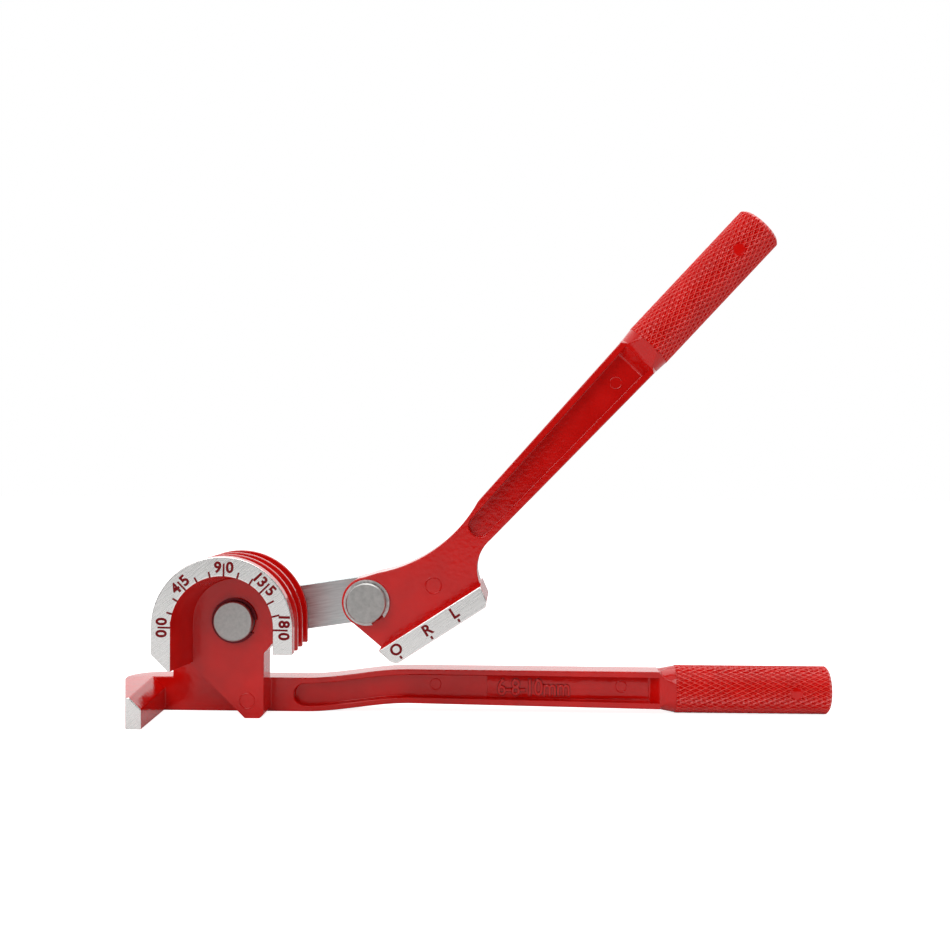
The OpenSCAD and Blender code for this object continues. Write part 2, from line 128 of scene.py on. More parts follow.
class BenderSizes(bpy.types.PropertyGroup):
    """Sizes of the bender's finished edges, knurling and marks"""

    cast_edge: FloatProperty(
        name="Cast edge", description="Rounding of the castings' edges", default=0.45 * MM, unit="LENGTH")
    strap_edge: FloatProperty(
        name="Strap edge", description="Rounding of the steel link's edges", default=0.35 * MM, unit="LENGTH")
    knurl_starts: IntProperty(
        name="Knurl starts", description="Ridges of each hand round a grip", default=30, min=8)
    knurl_lead: FloatProperty(
        name="Knurl pitch", description="Distance along a grip between ridges of one hand",
        default=3.87 * MM, unit="LENGTH")
    knurl_depth: FloatProperty(
        name="Knurl depth", description="Height of the knurl's ridges", default=0.65 * MM, unit="LENGTH")
    digit_height: FloatProperty(
        name="Digit height", description="Height of the dial's digits", default=3.8 * MM, unit="LENGTH")
    digit_weight: FloatProperty(
        name="Digit weight", description="What the dial's digits are thickened by on each side",
        default=0.19 * MM, unit="LENGTH")
    mark_thickness: FloatProperty(
        name="Mark thickness", description="Height of the paint in a mark", default=0.04 * MM, unit="LENGTH")


class BenderFinish(bpy.types.PropertyGroup):
    """Colours of the bender's finishes"""

    paint: FloatVectorProperty(
        name="Paint", description="Red gloss paint of both castings", subtype="COLOR",
        default=(0.70, 0.005, 0.003))
    # The grips' red is the castings' paint made lighter, as painted light on the round grips
    grip: FloatVectorProperty(
        name="Grip paint", description="Red paint in the knurling's pits, lightened as painted light", subtype="COLOR",
        default=(0.82, 0.004, 0.002))
    # The pale pink on the knurl's ridges is a painted highlight
    ridge: FloatVectorProperty(
        name="Ridge paint", description="Painted highlight on the knurling's ridges", subtype="COLOR",
        default=(1.0, 0.10, 0.08))
    ground: FloatVectorProperty(
        name="Ground metal", description="Bare aluminium of the ground faces", subtype="COLOR",
        default=(0.96, 0.945, 0.93))
    zinc: FloatVectorProperty(
        name="Zinc", description="Zinc-plated steel of the link", subtype="COLOR", default=(0.65, 0.71, 0.71))
    pin: FloatVectorProperty(
        name="Pin steel", description="Turned steel of the pins", subtype="COLOR",
        default=(0.52, 0.51, 0.495))
    # Dark spring steel whose red tint is a painted reflection of the red paint round it
    ring: FloatVectorProperty(
        name="Ring steel with painted red reflection", description="Dark spring steel of the former's ring and of the washers, tinted red as a painted reflection",
        subtype="COLOR", default=(0.15, 0.02, 0.025))
    # The dark red round the raised letters is painted shade of their side walls
    pooled: FloatVectorProperty(
        name="Pooled paint", description="Painted shade at the foot of raised letters", subtype="COLOR",
        default=(0.33, 0.003, 0.003))
    # The shoe's ring is made pale as a painted reflection of the white around it
    bright: FloatVectorProperty(
        name="Bright ring", description="Spring steel of the shoe's ring, made bright as a painted reflection", subtype="COLOR",
        default=(0.62, 0.60, 0.59))
    mark: FloatVectorProperty(
        name="Mark paint", description="Dark red paint in the marks", subtype="COLOR",
        default=(0.21, 0.002, 0.005))


class BenderStage(bpy.types.PropertyGroup):
    """Light of the stage"""

    ambient: FloatProperty(name="Ambient", description="Strength of the even light", default=0.36, min=0)
    key_power: FloatProperty(
        name="Key", description="Power of the lamp in front", default=4, unit="POWER", min=0)
    top_power: FloatProperty(
        name="Top", description="Power of the lamp overhead", default=4, unit="POWER", min=0)
    floor_glow: FloatProperty(
        name="Floor glow", description="White that the floor adds for the camera", default=0.9, min=0)
    floor_shine: FloatProperty(
        name="Floor shine", description="White that the floor adds in reflections", default=0.15, min=0)
    backdrop: FloatProperty(
        name="Backdrop", description="White that is behind the object", default=1.35, min=0)


# Mesh helpers

def merged_copy(node):
    """A merged copy of a CAD node's mesh, with its flat faces whole."""
    bm = bmesh.new()
    bm.from_mesh(frame["nodes"][node].data)
    bmesh.ops.remove_doubles(bm, verts=bm.verts, dist=MERGE_DISTANCE)
    bmesh.ops.dissolve_limit(bm, angle_limit=FLAT_ANGLE, verts=bm.verts, edges=bm.edges)
    return bm


def region_widths(bm, sharp):
    """The mean width of the smooth region that each face belongs to."""
    widths = {}
    for seed in bm.faces:
        if seed in widths:
            continue
        region, waiting, outline = {seed}, [seed], 0.0
        while waiting:
            for edge in waiting.pop().edges:
                if edge in sharp:
                    outline += edge.calc_length()
                    continue
                for face in edge.link_faces:
                    if face not in region:
                        region.add(face)
                        waiting.append(face)
        width = 2 * sum(face.calc_area() for face in region) / max(outline, MERGE_DISTANCE)
        widths.update(dict.fromkeys(region, width))
    return widths


def crossings(bm):
    """Places where the outline of a face crosses itself, so that its triangles cover too much."""
    covered = dict.fromkeys(bm.faces, 0.0)
    for loops in bm.calc_loop_triangles():
        covered[loops[0].face] += area_tri(*(loop.vert.co for loop in loops))
    places = []
    for face in bm.faces:
        if covered[face] < face.calc_area() + CROSSED_AREA:
            continue
        turn = face.normal.rotation_difference(Vector((0, 0, 1)))
        flat = [(turn @ vert.co).to_2d() for vert in face.verts]
        sides = [(flat[i - 1], flat[i], face.verts[i].co) for i in range(len(flat))]
        for i, (start, end, place) in enumerate(sides):
            for other_start, other_end, other_place in sides[i + 2:len(sides) - (i == 0)]:
                if intersect_line_line_2d(start, end, other_start, other_end):
                    places += [place.copy(), other_place.copy()]
    return places


def near(edge, places, reach):
    """Whether an edge passes within reach of any of the places."""
    start, end = (vert.co for vert in edge.verts)
    for place in places:
        share = intersect_point_line(place, start, end)[1]
        nearest = start.lerp(end, min(1.0, max(0.0, share)))
        if (nearest - place).length < reach:
            return True
    return False


def soften(bm, radius):
    """A copy with its sharp edges rounded, where the faces beside them have room for it."""
    bm.edges.index_update()
    sharp = {edge for edge in bm.edges if edge.is_manifold and edge.calc_face_angle() > SHARP_ANGLE}
    widths = region_widths(bm, sharp)
    edges = [edge for edge in bm.edges
             if edge in sharp and min(widths[face] for face in edge.link_faces) > 2 * radius]
    for _ in range(SOFTEN_ATTEMPTS):
        soft = bm.copy()
        soft.edges.ensure_lookup_table()
        bmesh.ops.bevel(soft, geom=[soft.edges[edge.index] for edge in edges], offset=radius,
                        offset_type="OFFSET", segments=EDGE_SEGMENTS, profile=0.5, affect="EDGES",
                        clamp_overlap=False, loop_slide=True, material=-1)
        places = crossings(soft)
        if not places:
            break
        edges = [edge for edge in edges if not near(edge, places, SOFTEN_REACH * radius)]
    bm.free()
    return soft


def cut_off(bm, point, direction):
    """Cuts away what lies past a plane and closes the cut."""
    geometry = bm.verts[:] + bm.edges[:] + bm.faces[:]
    bmesh.ops.bisect_plane(bm, geom=geometry, dist=MERGE_DISTANCE, plane_co=point, plane_no=direction,
                           clear_outer=True)
    bmesh.ops.contextual_create(bm, geom=[edge for edge in bm.edges if edge.is_boundary])


def revolve(profile, steps):
    """A closed shape turned about X from a profile of distance along it and radius."""
    bm = bmesh.new()
    verts = [bm.verts.new((along, 0, radius)) for along, radius in profile]
    edges = [bm.edges.new(pair) for pair in zip(verts, verts[1:])]
    bmesh.ops.spin(bm, geom=verts + edges, cent=(0, 0, 0), axis=(1, 0, 0), angle=math.tau, steps=steps,
                   use_merge=True)
    bmesh.ops.remove_doubles(bm, verts=bm.verts, dist=MERGE_DISTANCE)
    bmesh.ops.recalc_face_normals(bm, faces=bm.faces)
    return bm


def block(bm, centre, size, place):
    """Adds a block of that size, centred in the place's own frame."""
    matrix = place @ Matrix.Translation(centre) @ Matrix.Diagonal((*size, 1))
    bmesh.ops.create_cube(bm, size=1, matrix=matrix)


# Faces round a raised ring's section, and along it
RING_SIDES = 8
RING_STEPS = 40


def raised_ring(bm, radius, section, place):
    """Adds a round ring, half sunk in the face that it lies on."""
    before = set(bm.verts)
    bmesh.ops.create_circle(bm, segments=RING_SIDES, radius=section,
                            matrix=Matrix.Translation((radius, 0, 0)) @ FACING)
    circle = [vert for vert in bm.verts if vert not in before]
    edges = [edge for edge in bm.edges if edge.verts[0] in circle]
    bmesh.ops.spin(bm, geom=circle + edges, cent=(0, 0, 0), axis=(0, 0, 1), angle=math.tau, steps=RING_STEPS,
                   use_merge=True)
    ring = [vert for vert in bm.verts if vert not in before]
    bmesh.ops.transform(bm, matrix=place @ FACING, verts=ring)


# Distance between letters, as a share of the font's own
LETTER_SPACE = 0.94
# Height of a capital letter, as a share of the font's size
CAP_HEIGHT = 0.72


def add_text(bm, words, height, weight, thickness, align, place, edge=0.0):
    """Adds words as solid letters, with the middle of their height at the place's origin."""
    curve = bpy.data.curves.new("words", "FONT")
    curve.body = words
    curve.size = height / CAP_HEIGHT
    curve.align_x = align
    curve.extrude = thickness
    curve.offset = weight
    curve.space_character = LETTER_SPACE
    curve.bevel_depth = edge
    curve.bevel_resolution = 1
    curve.resolution_u = 4
    holder = bpy.data.objects.new("words", curve)
    bpy.context.scene.collection.objects.link(holder)
    bpy.context.view_layer.update()
    mesh = bpy.data.meshes.new_from_object(holder.evaluated_get(bpy.context.evaluated_depsgraph_get()))
    bpy.data.objects.remove(holder)
    bpy.data.curves.remove(curve)
    mesh.transform(place @ FACING @ Matrix.Translation((0, -height / 2, 0)))
    bm.from_mesh(mesh)
    bpy.data.meshes.remove(mesh)


def make_piece(name, bm, materials, body, nodes=()):
    """Turns a bmesh into a piece that rides on a body and stands for CAD nodes."""
    for face in bm.faces:
        face.smooth = True
    for edge in bm.edges:
        edge.smooth = not (edge.is_manifold and edge.calc_face_angle() > CREASE_ANGLE)
    mesh = bpy.data.meshes.new(name)
    bm.to_mesh(mesh)
    bm.free()
    for material in materials:
        mesh.materials.append(material)
    piece = bpy.data.objects.new(name, mesh)
    bpy.context.scene.collection.objects.link(piece)
    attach(piece, body)
    if nodes:
        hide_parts(*nodes)
    return piece


def even_shading(piece):
    """Keeps flat faces flat between their rounded edges."""
    modifier = piece.modifiers.new("Even shading", "WEIGHTED_NORMAL")
    modifier.keep_sharp = True


# Materials

def node_group(name, inputs, outputs):
    """A new shader group with float sockets, and its input and output nodes."""
    group = bpy.data.node_groups.new(name, "ShaderNodeTree")
    for socket, value in inputs.items():
        kind = "NodeSocketVector" if isinstance(value, tuple) else "NodeSocketFloat"
        group.interface.new_socket(socket, in_out="INPUT", socket_type=kind).default_value = value
    for socket in outputs:
        group.interface.new_socket(socket, in_out="OUTPUT", socket_type="NodeSocketFloat")
    return group, group.nodes.new("NodeGroupInput"), group.nodes.new("NodeGroupOutput")


def mottle_group():
    """Even cloudy variation, given as a value between Low and High."""
    name = "Mottle"
    if name in bpy.data.node_groups:
        return bpy.data.node_groups[name]
    group, inside, outside = node_group(
        name, {"Scale": 100.0, "Detail": 2.0, "Low": 0.0, "High": 1.0}, ["Value"])
    nodes, links = group.nodes, group.links
    coordinates = nodes.new("ShaderNodeTexCoord")
    noise = nodes.new("ShaderNodeTexNoise")
    span = nodes.new("ShaderNodeMapRange")
    span.inputs["From Min"].default_value = 0.3
    span.inputs["From Max"].default_value = 0.7
    links.new(coordinates.outputs["Object"], noise.inputs["Vector"])
    links.new(inside.outputs["Scale"], noise.inputs["Scale"])
    links.new(inside.outputs["Detail"], noise.inputs["Detail"])
    links.new(noise.outputs["Fac"], span.inputs["Value"])
    links.new(inside.outputs["Low"], span.inputs["To Min"])
    links.new(inside.outputs["High"], span.inputs["To Max"])
    links.new(span.outputs["Result"], outside.inputs["Value"])
    return group


def scratch_group():
    """Long fine scratches in one direction of the X and Z plane, given as a value from 0 to 1."""
    name = "Scratches"
    if name in bpy.data.node_groups:
        return bpy.data.node_groups[name]
    group, inside, outside = node_group(
        name, {"Turn": (0.0, 0.0, 0.0), "Stretch": (1.0, 1.0, 1.0), "Scale": 1000.0}, ["Scratch"])
    nodes, links = group.nodes, group.links
    coordinates = nodes.new("ShaderNodeTexCoord")
    turned = nodes.new("ShaderNodeMapping")
    stretched = nodes.new("ShaderNodeMapping")
    noise = nodes.new("ShaderNodeTexNoise")
    noise.inputs["Detail"].default_value = 3
    span = nodes.new("ShaderNodeMapRange")
    span.inputs["From Min"].default_value = 0.35
    span.inputs["From Max"].default_value = 0.65
    links.new(coordinates.outputs["Object"], turned.inputs["Vector"])
    links.new(inside.outputs["Turn"], turned.inputs["Rotation"])
    links.new(turned.outputs["Vector"], stretched.inputs["Vector"])
    links.new(inside.outputs["Stretch"], stretched.inputs["Scale"])
    links.new(stretched.outputs["Vector"], noise.inputs["Vector"])
    links.new(inside.outputs["Scale"], noise.inputs["Scale"])
    links.new(noise.outputs["Fac"], span.inputs["Value"])
    links.new(span.outputs["Result"], outside.inputs["Scratch"])
    return group


class Finish:
    """A material under construction: its principled shader, and nodes that feed it."""

    def __init__(self, name):
        self.material = bpy.data.materials.new(name)
        self.material.use_nodes = True
        self.tree = self.material.node_tree
        self.shader = self.tree.nodes["Principled BSDF"]

    def set(self, **values):
        """Sets sockets of the shader to constants."""
        for socket, value in values.items():
            self.shader.inputs[socket.replace("_", " ").title().replace("Ior", "IOR")].default_value = value

    def place(self, group, **values):
        """Adds a group with these inputs and gives its output."""
        node = self.tree.nodes.new("ShaderNodeGroup")
        node.node_tree = group
        for socket, value in values.items():
            node.inputs[socket.title()].default_value = value
        return node.outputs[0]

    def colour(self, mask, low, high):
        """Makes the colour vary between two with a mask."""
        mix = self.tree.nodes.new("ShaderNodeMix")
        mix.data_type = "RGBA"
        mix.inputs["A"].default_value = (*low, 1)
        mix.inputs["B"].default_value = (*high, 1)
        self.tree.links.new(mask, mix.inputs["Factor"])
        self.tree.links.new(mix.outputs["Result"], self.shader.inputs["Base Color"])

    def roughness(self, mask, low, high):
        """Makes the roughness vary between two with a mask."""
        span = self.tree.nodes.new("ShaderNodeMapRange")
        span.inputs["To Min"].default_value = low
        span.inputs["To Max"].default_value = high
        self.tree.links.new(mask, span.inputs["Value"])
        self.tree.links.new(span.outputs["Result"], self.shader.inputs["Roughness"])

    def bump(self, height, distance, strength):
        """Adds fine relief to the shader's normal."""
        bump = self.tree.nodes.new("ShaderNodeBump")
        bump.inputs["Distance"].default_value = distance
        bump.inputs["Strength"].default_value = strength
        self.tree.links.new(height, bump.inputs["Height"])
        self.tree.links.new(bump.outputs["Normal"], self.shader.inputs["Normal"])


def tone(colour, share):
    """A colour made darker or lighter by a share."""
    return tuple(min(1.0, part * share) for part in colour)


def painted(name, colour):
    """Gloss paint with faint clouds and an orange peel."""
    finish = Finish(name)
    clouds = finish.place(mottle_group(), scale=90.0, detail=3.0)
    peel = finish.place(mottle_group(), scale=620.0, detail=1.0)
    finish.colour(clouds, tone(colour, 0.88), tone(colour, 1.06))
    finish.roughness(clouds, 0.1, 0.16)
    finish.bump(peel, 0.05 * MM, 0.45)
    finish.set(ior=1.46)
    return finish.material


def ground_metal(name, colour):
    """Bare aluminium with the grinder's slanting scratches."""
    finish = Finish(name)
    scratch = finish.place(scratch_group(), turn=(0.0, math.radians(38), 0.0), stretch=(0.1, 1.0, 1.6),
                           scale=1500.0)
    finish.colour(scratch, tone(colour, 0.86), colour)
    finish.roughness(scratch, 0.22, 0.36)
    finish.bump(scratch, 0.03 * MM, 0.4)
    finish.set(metallic=1.0)
    return finish.material


def zinc_plate(name, colour):
    """Zinc plate brushed along the link."""
    finish = Finish(name)
    grain = finish.place(scratch_group(), turn=(0.0, math.radians(8.7), 0.0), stretch=(0.1, 1.0, 1.4),
                         scale=1300.0)
    finish.colour(grain, tone(colour, 0.82), tone(colour, 1.05))
    finish.roughness(grain, 0.3, 0.42)
    finish.bump(grain, 0.02 * MM, 0.3)
    finish.set(metallic=1.0)
    return finish.material


def pin_steel(name, colour):
    """Turned steel with a satin face."""
    finish = Finish(name)
    spots = finish.place(mottle_group(), scale=700.0, detail=4.0)
    finish.colour(spots, tone(colour, 0.8), tone(colour, 1.06))
    finish.roughness(spots, 0.32, 0.46)
    finish.bump(spots, 0.03 * MM, 0.3)
    finish.set(metallic=1.0)
    return finish.material


def spring_steel(name, colour):
    """Spring steel with spots of wear."""
    finish = Finish(name)
    spots = finish.place(mottle_group(), scale=900.0, detail=3.0)
    finish.colour(spots, tone(colour, 0.8), tone(colour, 1.3))
    finish.roughness(spots, 0.3, 0.45)
    finish.set(metallic=1.0)
    return finish.material


def mark_paint(name, colour):
    """Matt paint that fills a mark."""
    finish = Finish(name)
    clouds = finish.place(mottle_group(), scale=1500.0, detail=2.0)
    finish.colour(clouds, tone(colour, 0.7), tone(colour, 1.3))
    finish.roughness(clouds, 0.4, 0.55)
    finish.set(ior=1.25)
    return finish.material


# Materials: how each is made, and the setting that holds its colour
FINISHES = {
    "Red gloss paint": (painted, "paint"),
    "Grip paint": (painted, "grip"),
    "Ridge paint": (painted, "ridge"),
    "Pooled paint": (painted, "pooled"),
    "Ground aluminium": (ground_metal, "ground"),
    "Zinc plate": (zinc_plate, "zinc"),
    "Pin steel": (pin_steel, "pin"),
    "Spring steel": (spring_steel, "ring"),
    "Bright ring": (spring_steel, "bright"),
    "Mark paint": (mark_paint, "mark"),
}


def kept(name):
    """The material of that name, made once."""
    make, colour = FINISHES[name]
    return bpy.data.materials.get(name) or make(name, getattr(bpy.context.scene.bender_finish, colour))


# Pieces

class PieceOperator:
    """Options that the bender's operators share"""

    bl_options = {"REGISTER", "UNDO"}


# How far before its grip's round bar a casting is cut off
CUT_MARGIN = 0.02 * MM
# Share of a rounded edge that is ground bare with the face beside it
GROUND_SHARE = 0.6


def make_casting(name, node, body, grip_point, grip_direction):
    """A painted casting without its grip."""
    bm = merged_copy(node)
    cut_off(bm, grip_point - CUT_MARGIN * grip_direction, grip_direction)
    sizes = bpy.context.scene.bender_sizes
    bm = soften(bm, sizes.cast_edge)
    ground_to = GROUND_Y + sizes.cast_edge * GROUND_SHARE
    for face in bm.faces:
        face.material_index = int(all(vert.co.y < ground_to for vert in face.verts))
    for vert in bm.verts:
        vert.co.y = max(vert.co.y, GROUND_Y + sizes.mark_thickness)
    materials = [kept("Red gloss paint"), kept("Ground aluminium")]
    piece = make_piece(name, bm, materials, body, [node])
    even_shading(piece)


class BENDER_OT_former_casting(PieceOperator, bpy.types.Operator):
    """Rounds the former casting's edges and leaves its dial and its hook's end bare"""

    bl_idname = "bender.former_casting"
    bl_label = "Former casting"

    def execute(self, context):
        make_casting("former_casting", "former_handle", "former_body",
                     Vector((FORMER_AXIS.x + LOWER_GRIP_START, 0, 0)), Vector((1, 0, 0)))
        return {"FINISHED"}


class BENDER_OT_shoe_casting(PieceOperator, bpy.types.Operator):
    """Rounds the shoe casting's edges and leaves its strip bare"""

    bl_idname = "bender.shoe_casting"
    bl_label = "Shoe casting"

    def execute(self, context):
        make_casting("shoe_casting", "shoe_handle", "shoe_body",
                     HANDLE_PLACE @ Vector((UPPER_GRIP_START, 0, 0)),
                     HANDLE_PLACE.to_3x3() @ Vector((1, 0, 0)))
        return {"FINISHED"}


# Half the width of a knurl's ridge, as a share of the distance between ridges
RIDGE_HALF_WIDTH = 0.25
# Height from which a ridge has the painted highlight, as a share of the knurl's depth
RIDGE_HIGHLIGHT_FROM = 0.6
# Smooth round spot that an ejector leaves on each grip, and its height as a share of the knurl's depth
SPOT_RADIUS = 2.3 * MM
SPOT_HEIGHT = 0.55
LOWER_SPOT = LOWER_GRIP_END - 13.5 * MM
UPPER_SPOT = UPPER_GRIP_END - 13.4 * MM
# Steps of the mesh over one ridge
STEPS_PER_RIDGE = 10
# Share of the rounded end that the knurling leaves free, and the angles of its profile
KNURL_STOP = 0.6
END_ANGLES = [math.radians(angle) for angle in (50, 65, 80, 90)]


def ridge(turns):
    """Height of a rounded ridge that repeats at each whole turn."""
    off = abs(turns - round(turns))
    return max(0.0, 1 - (off / RIDGE_HALF_WIDTH) ** 2)


def grip_profile(start, end, lead):
    """Points of distance along a grip and radius, from its tenon to its rounded end."""
    knurl_to = end - GRIP_ROUND * KNURL_STOP
    rings = round((knurl_to - start) / lead * STEPS_PER_RIDGE)
    straight = [(start + (knurl_to - start) * i / rings, GRIP_RADIUS) for i in range(rings + 1)]
    corner = [(end - GRIP_ROUND + GRIP_ROUND * math.sin(angle), CORE_RADIUS + GRIP_ROUND * math.cos(angle))
              for angle in END_ANGLES]
    tenon = [(start - GRIP_TENON, 0), (start - GRIP_TENON, CORE_RADIUS), (start, CORE_RADIUS)]
    return [*tenon, *straight, *corner, (end, 0)]


def knurled_grip(name, body, node, start, end, place, spot):
    """A round grip with crossed ridges and one smooth spot."""
    sizes = bpy.context.scene.bender_sizes
    bm = revolve(grip_profile(start, end, sizes.knurl_lead), sizes.knurl_starts * STEPS_PER_RIDGE)
    highlit_ridge_verts = set()
    for vert in bm.verts:
        along = vert.co.x
        radius = math.hypot(vert.co.y, vert.co.z)
        if radius < CORE_RADIUS + MERGE_DISTANCE:
            continue
        turn = math.atan2(vert.co.z, vert.co.y) / math.tau * sizes.knurl_starts
        run = along / sizes.knurl_lead
        height = max(ridge(run + turn), ridge(run - turn))
        around = math.atan2(vert.co.z, -vert.co.y) * GRIP_RADIUS
        if math.hypot(along - spot, around) < SPOT_RADIUS:
            height = SPOT_HEIGHT
        if height > RIDGE_HIGHLIGHT_FROM:
            highlit_ridge_verts.add(vert)
        fade = min(1.0, max(0.0, (end - along) / GRIP_ROUND))
        fall = sizes.knurl_depth * (1 - height) * fade
        vert.co.y *= (radius - fall) / radius
        vert.co.z *= (radius - fall) / radius
    # Faces that stand high on the ridges get the painted highlight, the rest the grip's red
    for face in bm.faces:
        face.material_index = int(highlit_ridge_verts.issuperset(face.verts))
    bmesh.ops.transform(bm, matrix=place, verts=bm.verts)
    make_piece(name, bm, [kept("Grip paint"), kept("Ridge paint")], body, [node])


class BENDER_OT_grips(PieceOperator, bpy.types.Operator):
    """Turns both knurled grips"""

    bl_idname = "bender.grips"
    bl_label = "Knurled grips"

    def execute(self, context):
        knurled_grip("lower_grip", "former_body", "former_handle", LOWER_GRIP_START, LOWER_GRIP_END,
                     LOWER_GRIP_PLACE, LOWER_SPOT)
        knurled_grip("upper_grip", "shoe_body", "shoe_handle", UPPER_GRIP_START, UPPER_GRIP_END,
                     UPPER_GRIP_PLACE, UPPER_SPOT)
        return {"FINISHED"}


# Dial: bend angle shown, digits before and after its tick
DIAL_MARKS = [(0, "0", "0"), (45, "4", "5"), (90, "9", "0"), (135, "13", "5"), (180, "18", "0")]
# Where the marks' centre lies from the former's axis, and how far they are turned
DIAL_CENTRE = Vector((0.45 * MM, 0, -0.38 * MM))
DIAL_TURN = math.radians(-0.9)
# Radii and sizes of the dial's ticks and digits
DIAL_INNER = 18.1 * MM
DIGIT_RADIUS = 21.75 * MM
DIGIT_GAP = 0.8 * MM
TICK_WIDTH = 0.66 * MM
# Ticks reach this far into the casting, so that they run out at the dial's rounded inner edge
TICK_DEPTH = 0.5 * MM
LONG_TICK_END = 22.95 * MM
SHORT_TICK_END = 20.6 * MM
TICK_STEP = 15


def mark_sink():
    """Sets a mark back so that its top lies where the CAD's ground face is."""
    return Matrix.Translation((0, bpy.context.scene.bender_sizes.mark_thickness, 0))


def dial_place(angle):
    """Frame on the dial whose Z points outwards at a bend angle, counted from the left."""
    return (FORMER_PLACE @ mark_sink() @ Matrix.Translation(DIAL_CENTRE)
            @ Matrix.Rotation(math.radians(angle - 90) - DIAL_TURN, 4, "Y"))


class BENDER_OT_dial_marks(PieceOperator, bpy.types.Operator):
    """Draws the dial's ticks and digits"""

    bl_idname = "bender.dial_marks"
    bl_label = "Dial marks"

    def execute(self, context):
        sizes = context.scene.bender_sizes
        bm = bmesh.new()
        numbered = {angle for angle, before, after in DIAL_MARKS}
        for angle in range(0, 181, TICK_STEP):
            place = dial_place(angle)
            start = DIAL_INNER - DIAL_CENTRE.dot(place.col[2].to_3d())
            end = LONG_TICK_END if angle in numbered else SHORT_TICK_END
            centre = (0, TICK_DEPTH / 2 - sizes.mark_thickness, (start + end) / 2)
            block(bm, centre, (TICK_WIDTH, TICK_DEPTH, end - start), place)
        for angle, before, after in DIAL_MARKS:
            for words, side, align in ((before, -1, "RIGHT"), (after, 1, "LEFT")):
                place = dial_place(angle) @ Matrix.Translation((side * DIGIT_GAP, 0, DIGIT_RADIUS))
                add_text(bm, words, sizes.digit_height, sizes.digit_weight, sizes.mark_thickness, align,
                         place)
        make_piece("dial_marks", bm, [kept("Mark paint")], "former_body")
        return {"FINISHED"}


# Shoe: letters and where they stand along the strip
SHOE_MARKS = [("O", 2.4 * MM), ("R", 15.2 * MM), ("L", 26.4 * MM)]
SHOE_LETTER_DROP = 18.7 * MM
SHOE_TICK_DROP = 22 * MM
SHOE_LETTER_HEIGHT = 3.9 * MM
SHOE_LETTER_WEIGHT = 0.17 * MM
SHOE_TICK = (0.8 * MM, 1.2 * MM)


class BENDER_OT_shoe_marks(PieceOperator, bpy.types.Operator):
    """Draws the letters and ticks on the shoe's strip"""

    bl_idname = "bender.shoe_marks"
    bl_label = "Shoe marks"

    def execute(self, context):
        thickness = context.scene.bender_sizes.mark_thickness
        place = SHOE_PLACE @ mark_sink()
        bm = bmesh.new()
        for letter, along in SHOE_MARKS:
            add_text(bm, letter, SHOE_LETTER_HEIGHT, SHOE_LETTER_WEIGHT, thickness, "CENTER",
                     place @ Matrix.Translation((along, 0, -SHOE_LETTER_DROP)))
            block(bm, (along, 0, -SHOE_TICK_DROP), (SHOE_TICK[0], 2 * thickness, SHOE_TICK[1]), place)
        make_piece("shoe_marks", bm, [kept("Mark paint")], "shoe_body")
        return {"FINISHED"}


# Raised size plate in the lower handle's pocket, from the former's axis
PLATE_X = (92.5 * MM, 153.4 * MM)
PLATE_Z = (-30.6 * MM, -21.6 * MM)
PLATE_HEIGHT = 0.3 * MM
SIZE_WORDS = "6-8-10mm"
SIZE_WORDS_AT = (110.2 * MM, -26.4 * MM)
SIZE_WORDS_HEIGHT = 6.3 * MM
SIZE_WORDS_SQUEEZE = 0.8
SIZE_WORDS_WEIGHT = -0.1 * MM
SIZE_WORDS_RAISE = 0.5 * MM
SIZE_WORDS_EDGE = 0.3 * MM
# How far the painted shade round the letters reaches past their outline
SIZE_WORDS_SHADE_REACH = 0.42 * MM


class BENDER_OT_size_plate(PieceOperator, bpy.types.Operator):
    """Casts the plate with the tube sizes into the lower handle's pocket"""

    bl_idname = "bender.size_plate"
    bl_label = "Size plate"

    def execute(self, context):
        bm = bmesh.new()
        centre = (sum(PLATE_X) / 2, LOWER_POCKET_DEPTH, sum(PLATE_Z) / 2)
        size = (PLATE_X[1] - PLATE_X[0], 2 * PLATE_HEIGHT, PLATE_Z[1] - PLATE_Z[0])
        block(bm, centre, size, FORMER_PLACE)
        bmesh.ops.bevel(bm, geom=bm.edges, offset=PLATE_HEIGHT / 2, offset_type="OFFSET", segments=2,
                        profile=0.5, affect="EDGES", material=-1)
        place = FORMER_PLACE @ Matrix.Translation(
            (SIZE_WORDS_AT[0], LOWER_POCKET_DEPTH - PLATE_HEIGHT, SIZE_WORDS_AT[1]))
        place = place @ Matrix.Scale(SIZE_WORDS_SQUEEZE, 4, (1, 0, 0))
        add_text(bm, SIZE_WORDS, SIZE_WORDS_HEIGHT, SIZE_WORDS_WEIGHT, SIZE_WORDS_RAISE, "CENTER", place,
                 SIZE_WORDS_EDGE)
        make_piece("size_plate", bm, [kept("Red gloss paint")], "former_body")
        # A thin dark red rim round the letters, as painted shade at their feet
        letter_shade_mesh = bmesh.new()
        add_text(letter_shade_mesh, SIZE_WORDS, SIZE_WORDS_HEIGHT, SIZE_WORDS_SHADE_REACH,
                 context.scene.bender_sizes.mark_thickness, "CENTER", place)
        make_piece("size_letter_feet", letter_shade_mesh, [kept("Pooled paint")], "former_body")
        return {"FINISHED"}


# Ejector marks: radius, and distance along, depth and height from the former's axis or in the upper handle
RING_SECTION = 0.22 * MM
FORMER_RINGS = [(2.8 * MM, (4.6 * MM, POST_DEPTH, -29.6 * MM)),
                (2.05 * MM, (73 * MM, LOWER_POCKET_DEPTH, -25.8 * MM)),
                (2.05 * MM, (143.2 * MM, LOWER_POCKET_DEPTH - PLATE_HEIGHT, -26.1 * MM))]
SHOE_RINGS = [(2.9 * MM, (23.7 * MM, EAR_DEPTH, -2.6 * MM)),
              (2.1 * MM, (122.6 * MM, UPPER_POCKET_DEPTH, -0.6 * MM))]


